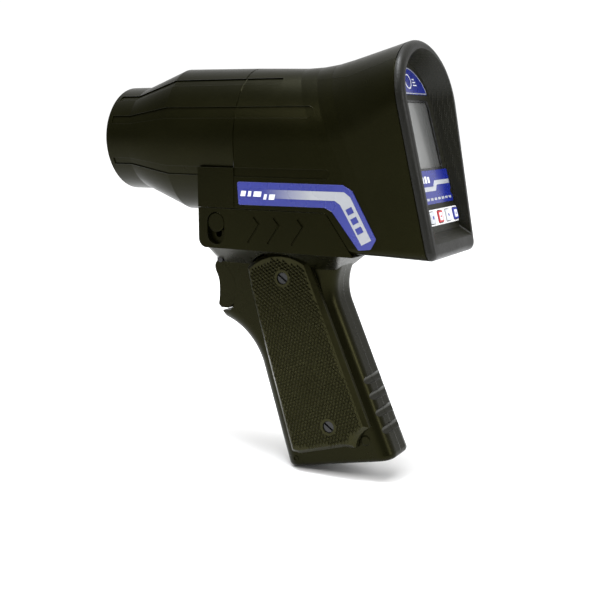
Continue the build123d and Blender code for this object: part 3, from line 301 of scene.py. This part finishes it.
def ring_plate(name, outer, inner, place, low, high, material, body="gun"):
    """Thin frame between two outlines with the same number of points."""
    count = len(outer)
    rows = [[place(a, b, height) for a, b in outline]
            for outline, height in ((outer, low), (outer, high), (inner, high), (inner, low))]
    vertices = [vertex for row in rows for vertex in row]
    faces = []
    for row in range(4):
        for i in range(count):
            j = (i + 1) % count
            other = (row + 1) % 4
            faces.append((row * count + i, row * count + j, other * count + j, other * count + i))
    return make_piece(name, vertices, faces, material, body)


def circle(centre, radius, count=24, start=0.0, sweep=2 * math.pi):
    last = count if abs(sweep - 2 * math.pi) < 1e-6 else count - 1
    return [(centre[0] + radius * math.cos(start + sweep * i / last),
             centre[1] + radius * math.sin(start + sweep * i / last)) for i in range(count)]


def rounded_box(left, bottom, right, top, radius, count=5):
    corners = [(right - radius, top - radius, 0.0), (left + radius, top - radius, 0.5 * math.pi),
               (left + radius, bottom + radius, math.pi), (right - radius, bottom + radius, 1.5 * math.pi)]
    return [point for x, y, start in corners
            for point in circle((x, y), radius, count, start, 0.5 * math.pi)]


def arc_through(half, ends, peak, count=24):
    """Points of the arc from (half, ends) over (0, peak) to (-half, ends)."""
    rise = peak - ends
    radius = (half ** 2 + rise ** 2) / (2 * rise)
    middle = peak - radius
    start = math.asin((ends - middle) / radius)
    return [(radius * math.cos(start + (math.pi - 2 * start) * i / (count - 1)),
             middle + radius * math.sin(start + (math.pi - 2 * start) * i / (count - 1)))
            for i in range(count)]


# ---------------------------------------------------------------- instrument panel graphics

def arch_outline(inset):
    return arc_through(19.5 - inset, 24.5 + 0.4 * inset, 35.6 - inset) + [
        (-19.5 + inset, 22.4 + inset), (19.5 - inset, 22.4 + inset)]


ring_plate("arch_outline", arch_outline(0.25), arch_outline(0.75), fascia_point, LABEL_FACE,
           LABEL_FACE + INK, silver_print)
ring_plate("arch_emblem_ring", circle((0, 28.6), 3.6, 32), circle((0, 28.6), 3.0, 32), fascia_point,
           LABEL_FACE, LABEL_FACE + THICK_INK, white_print)
for index, (left, right) in enumerate(((-9.5, -5.0), (5.0, 9.5))):
    for row in range(3):
        low = 26.6 + 1.4 * row
        shrink = 0.9 * row
        plate(f"arch_bar_{index}_{row}", rounded_box(left + (shrink if left < 0 else 0), low,
                                                     right - (shrink if left > 0 else 0), low + 0.6, 0.25),
              fascia_point, LABEL_FACE, LABEL_FACE + THICK_INK, white_print)
ring_plate("window_frame", rounded_box(-18.9, -14.2, 18.9, 19.7, 2.6),
           rounded_box(-17.9, -13.2, 17.9, 18.7, 1.9), fascia_point, 0.0, 0.35, window_frame)
plate("info_band", [(-22.4, -19.2), (-22.4, -21.4), (-6.0, -21.4), (-3.5, -24.2), (22.4, -24.2),
                    (22.4, -22.0), (-1.5, -22.0), (-4.0, -19.2)], fascia_point, LABEL_FACE,
      LABEL_FACE + INK, silver_print)
for index in range(6):
    left = 1.5 + 3.4 * index
    plate(f"info_bar_{index}", rounded_box(left, -20.2, left + 2.4, -17.2 + 0.3 * (index % 2), 0.4),
          fascia_point, LABEL_FACE, LABEL_FACE + INK, white_print)
for index in range(9):
    left = -21.0 + 4.6 * index
    plate(f"info_tick_{index}", rounded_box(left, -28.6, left + 3.2, -27.4, 0.3), fascia_point,
          LABEL_FACE, LABEL_FACE + INK, silver_print)

KEY_MARKS = [key_blue, key_blue, key_red, key_blue, key_blue]
KEY_FACES = [white_print, white_print, white_print, key_pale, white_print]
for index in range(5):
    across = KEY_PITCH * (index - 2)
    body = f"key_{index + 1}"
    face = rounded_box(across - 1.9, KEY_Z - 1.9, across + 1.9, KEY_Z + 1.9, 0.4)
    plate(f"key_face_{index + 1}", face, fascia_point, KEY_FACE, KEY_FACE + INK, KEY_FACES[index],
          body)
    mark = [circle((across, KEY_Z), 0.9, 3, math.pi / 2), circle((across, KEY_Z), 0.8, 16),
            rounded_box(across - 1.0, KEY_Z - 0.35, across + 1.0, KEY_Z + 0.35, 0.2),
            rounded_box(across - 0.8, KEY_Z - 0.8, across + 0.8, KEY_Z + 0.8, 0.2),
            circle((across, KEY_Z), 0.9, 3, -math.pi / 2)][index]
    plate(f"key_mark_{index + 1}", mark, fascia_point, KEY_FACE + INK, KEY_FACE + 0.09,
          KEY_MARKS[index], body)

# ---------------------------------------------------------------- side label graphics

STRIPE_UPPER = [(-88.0, -23.4), (-120.0, -23.3), (-143.3, -23.2), (-146.6, -25.4), (-157.6, -45.0)]
STRIPE_LOWER = [(-88.0, -27.6), (-120.0, -27.5), (-138.5, -27.4), (-141.4, -29.2), (-152.6, -47.6)]


def finer(points, steps):
    """The polyline with each length cut into steps."""
    result = [points[0]]
    for (x1, z1), (x2, z2) in zip(points, points[1:]):
        result += [(x1 + (x2 - x1) * i / steps, z1 + (z2 - z1) * i / steps) for i in range(1, steps + 1)]
    return result


def skin_band(name, first, second, side, lift, material, across=5, along=8):
    """Thin printed band between two polylines, laid over the side label on the body's curved flank."""
    skin = BVHTree.FromPolygons([vertex.co for vertex in nodes[f"side_label_{side}"].data.vertices],
                                [face.vertices for face in nodes[f"side_label_{side}"].data.polygons])
    sign = 1 if side == "left" else -1
    first, second = finer(first, along), finer(second, along)
    vertices = []
    for (x1, z1), (x2, z2) in zip(first, second):
        for i in range(across + 1):
            x, z = x1 + (x2 - x1) * i / across, z1 + (z2 - z1) * i / across
            hit = skin.ray_cast(Vector((x, 60.0 * sign, z)) * MM, Vector((0, -sign, 0)))[0]
            y = hit.y if hit else sign * SIDE_LABEL_FACE * MM
            vertices.append((x * MM, y + sign * lift * MM, z * MM))
    width = across + 1
    faces = [(row * width + i, row * width + i + 1, (row + 1) * width + i + 1, (row + 1) * width + i)
             for row in range(len(first) - 1) for i in range(across)]
    band = make_piece(name, vertices, faces, material, "gun")
    thick = band.modifiers.new("thickness", "SOLIDIFY")
    thick.thickness, thick.offset = INK * MM, 0.0
    return band


for side_name in ("left", "right"):
    skin_band(f"stripe_{side_name}", STRIPE_UPPER, STRIPE_LOWER, side_name, 0.05, stripe_print)
    for index, (left, right) in enumerate(((-86.2, -89.4), (-90.4, -92.6), (-93.6, -98.4), (-99.4, -101.4),
                                           (-102.4, -106.0))):
        drop = 1.2 * (index > 2)
        skin_band(f"side_mark_{side_name}_{index}",
                  [(left - 0.6, -24.4 - drop), (right - 0.2, -24.4 - drop)],
                  [(left, -27.0 - drop), (right + 0.4, -27.0 - drop)], side_name, 0.1, white_print, 1, 2)
    for index in range(3):
        top, left = -31.4 - 4.4 * index, -144.2 - 2.5 * index
        skin_band(f"leg_mark_{side_name}_{index}", [(left, top), (left - 3.0, top + 1.6)],
                  [(left - 1.5, top - 2.6), (left - 4.5, top - 1.0)], side_name, 0.1, label_blue, 2, 3)

# ---------------------------------------------------------------- grip panel checkering

CHECKER_AREA = [(-84.6, -66.2), (-98.0, -58.8), (-115.2, -62.2), (-148.2, -138.4), (-142.6, -144.4),
                (-140.4, -148.6), (-113.0, -156.0), (-109.6, -155.0), (-95.2, -107.6), (-86.4, -76.8)]
SCREW_PLACES = [(-103.5, -68.3), (-130.0, -141.8)]
CHECKER_MIDDLE = (-118.0, -108.0)
CHECKER_PITCH_ALONG, CHECKER_PITCH_ACROSS, CHECKER_HEIGHT = 3.2, 2.0, 0.75
CHECKER_FOOT, CHECKER_TIP, CHECKER_SINK = 0.94, 0.22, 0.02
SCREW_MARGIN = 4.2
COLLAR_R, RECESS_R, COLLAR_HEIGHT = 4.6, 3.1, 0.5
STUD_PLACE, STUD_R, STUD_BORE_R, STUD_HEIGHT = (-108.6, -163.4), 1.5, 0.9, 0.3
RING_SINK = 0.05


def inside(point, outline):
    hit = False
    for i, (x1, y1) in enumerate(outline):
        x2, y2 = outline[i - 1]
        if (y1 > point[1]) != (y2 > point[1]) and point[0] < (x2 - x1) * (point[1] - y1) / (y2 - y1) + x1:
            hit = not hit
    return hit


def checkering(side_name, side):
    """Rows of small flat-topped pyramids, laid out along the grip, over the panel's flat face."""
    place = flank_point(PANEL_FACE_Y, side)
    along = Vector((0.375, 0.927))
    across = Vector((0.927, -0.375))
    arms = ((CHECKER_PITCH_ALONG / 2, along), (CHECKER_PITCH_ACROSS / 2, across),
            (-CHECKER_PITCH_ALONG / 2, along), (-CHECKER_PITCH_ACROSS / 2, across))
    vertices, faces = [], []
    for row in range(-60, 61):
        for column in range(-40, 41):
            shift = 0.5 * (row % 2)
            centre = (Vector(CHECKER_MIDDLE) + along * (row * CHECKER_PITCH_ALONG / 2)
                      + across * ((column + shift) * CHECKER_PITCH_ACROSS))
            near_screw = any(math.hypot(centre.x - x, centre.y - z) < SCREW_MARGIN for x, z in SCREW_PLACES)
            if near_screw or not inside((centre.x, centre.y), CHECKER_AREA):
                continue
            base = len(vertices)
            for share, height in ((CHECKER_FOOT, -CHECKER_SINK), (CHECKER_TIP, CHECKER_HEIGHT)):
                for reach, direction in arms:
                    corner = centre + direction * reach * share
                    vertices.append(place(corner.x, corner.y, height))
            faces.append(tuple(base + i for i in (0, 1, 2, 3)))
            faces.append(tuple(base + i for i in (7, 6, 5, 4)))
            faces += [(base + i, base + (i + 1) % 4, base + 4 + (i + 1) % 4, base + 4 + i)
                      for i in range(4)]
    make_piece(f"checkering_{side_name}", vertices, faces, panel_plastic, "gun")


for side_name, side in (("left", 1), ("right", -1)):
    checkering(side_name, side)
    place = flank_point(PANEL_FACE_Y, side)
    for index, screw in enumerate(SCREW_PLACES):
        ring_plate(f"screw_collar_{side_name}_{index}", circle(screw, COLLAR_R, 32),
                   circle(screw, RECESS_R, 32), place, -RING_SINK, COLLAR_HEIGHT, panel_plastic)
    place = flank_point(FRAME_FACE_Y, side)
    ring_plate(f"corner_stud_{side_name}", circle(STUD_PLACE, STUD_R, 24),
               circle(STUD_PLACE, STUD_BORE_R, 24), place, -RING_SINK, STUD_HEIGHT, grip_plastic)

# ---------------------------------------------------------------- floor, lights and camera

FLOOR_SIZE, FLOOR_GAP = 12.0, 0.0002
FAR_GLOW, NEAR_GLOW = 1.05, 0.32     # strength of the surroundings towards -Y and towards +Y

lowest = cad_box[0][2]
bpy.ops.mesh.primitive_plane_add(size=FLOOR_SIZE, location=(-0.1, 0.0, lowest - FLOOR_GAP))
floor = bpy.context.object
floor.name = "floor"
floor_material, floor_tree, floor_shader, floor_coords = new_material("floor")
patches = remap(floor_tree, noise(floor_tree, floor_coords, 3.0), 0.0, 1.0)
floor_tree.links.new(blend_colours(floor_tree, patches, (0.93, 0.93, 0.93), (0.95, 0.95, 0.95)),
                     floor_shader.inputs["Base Color"])
floor_shader.inputs["Roughness"].default_value = 0.8
floor.data.materials.append(floor_material)

world = bpy.context.scene.world or bpy.data.worlds.new("world")
bpy.context.scene.world = world
world.use_nodes = True
background = world.node_tree.nodes["Background"]
background.inputs["Color"].default_value = (1.0, 1.0, 1.0, 1.0)
world_tree = world.node_tree
world_split = world_tree.nodes.new("ShaderNodeSeparateXYZ")
sky_direction = world_tree.nodes.new("ShaderNodeTexCoord").outputs["Generated"]
world_tree.links.new(sky_direction, world_split.inputs["Vector"])
world_tree.links.new(remap(world_tree, world_split.outputs["Y"], FAR_GLOW, NEAR_GLOW, -0.3, 0.35),
                     background.inputs["Strength"])

TARGET = Vector((-0.1, 0.0, -0.03))


def area_light(name, offset, size, power, colour):
    data = bpy.data.lights.new(name, "AREA")
    data.shape = "RECTANGLE"
    data.size, data.size_y = size
    data.energy = power
    data.color = colour
    light = bpy.data.objects.new(name, data)
    light.location = TARGET + Vector(offset)
    light.rotation_euler = (-Vector(offset)).to_track_quat("-Z", "Y").to_euler()
    bpy.context.collection.objects.link(light)


sun_data = bpy.data.lights.new("overhead", "SUN")
sun_data.energy, sun_data.angle = 2.1, 0.7
sun = bpy.data.objects.new("overhead", sun_data)
sun.rotation_euler = (math.radians(-12), math.radians(-8), 0.0)
bpy.context.collection.objects.link(sun)
area_light("top_soft", (0.1, 0.15, 0.9), (0.45, 0.22), 14.0, (0.93, 0.96, 1.0))
area_light("left_soft", (0.35, 0.85, 0.75), (0.35, 0.35), 3.5, (1.0, 0.99, 0.97))
area_light("rear_soft", (-0.95, 0.1, 0.3), (0.3, 0.4), 4.0, (1.0, 1.0, 1.0))

YAW, PITCH = math.radians(29.42), math.radians(10.35)
CAMERA_PLACE = (-0.3490, 0.4345, 0.00907)
SENSOR_WIDTH, FOCAL_LENGTH = 36.0, 58.62

back = Vector((-math.sin(YAW) * math.cos(PITCH), math.cos(YAW) * math.cos(PITCH), math.sin(PITCH)))
right = Vector((0, 0, 1)).cross(back).normalized()
up = back.cross(right)
bpy.context.scene.view_settings.view_transform = "Standard"
camera_data = bpy.data.cameras.new("camera")
camera_data.sensor_width = SENSOR_WIDTH
camera_data.lens = FOCAL_LENGTH
camera_data.clip_start = 0.01
camera = bpy.data.objects.new("camera", camera_data)
camera.matrix_world = Matrix.Translation(Vector(CAMERA_PLACE)) @ Matrix(
    (right, up, back)).transposed().to_4x4()
bpy.context.collection.objects.link(camera)
bpy.context.scene.camera = camera
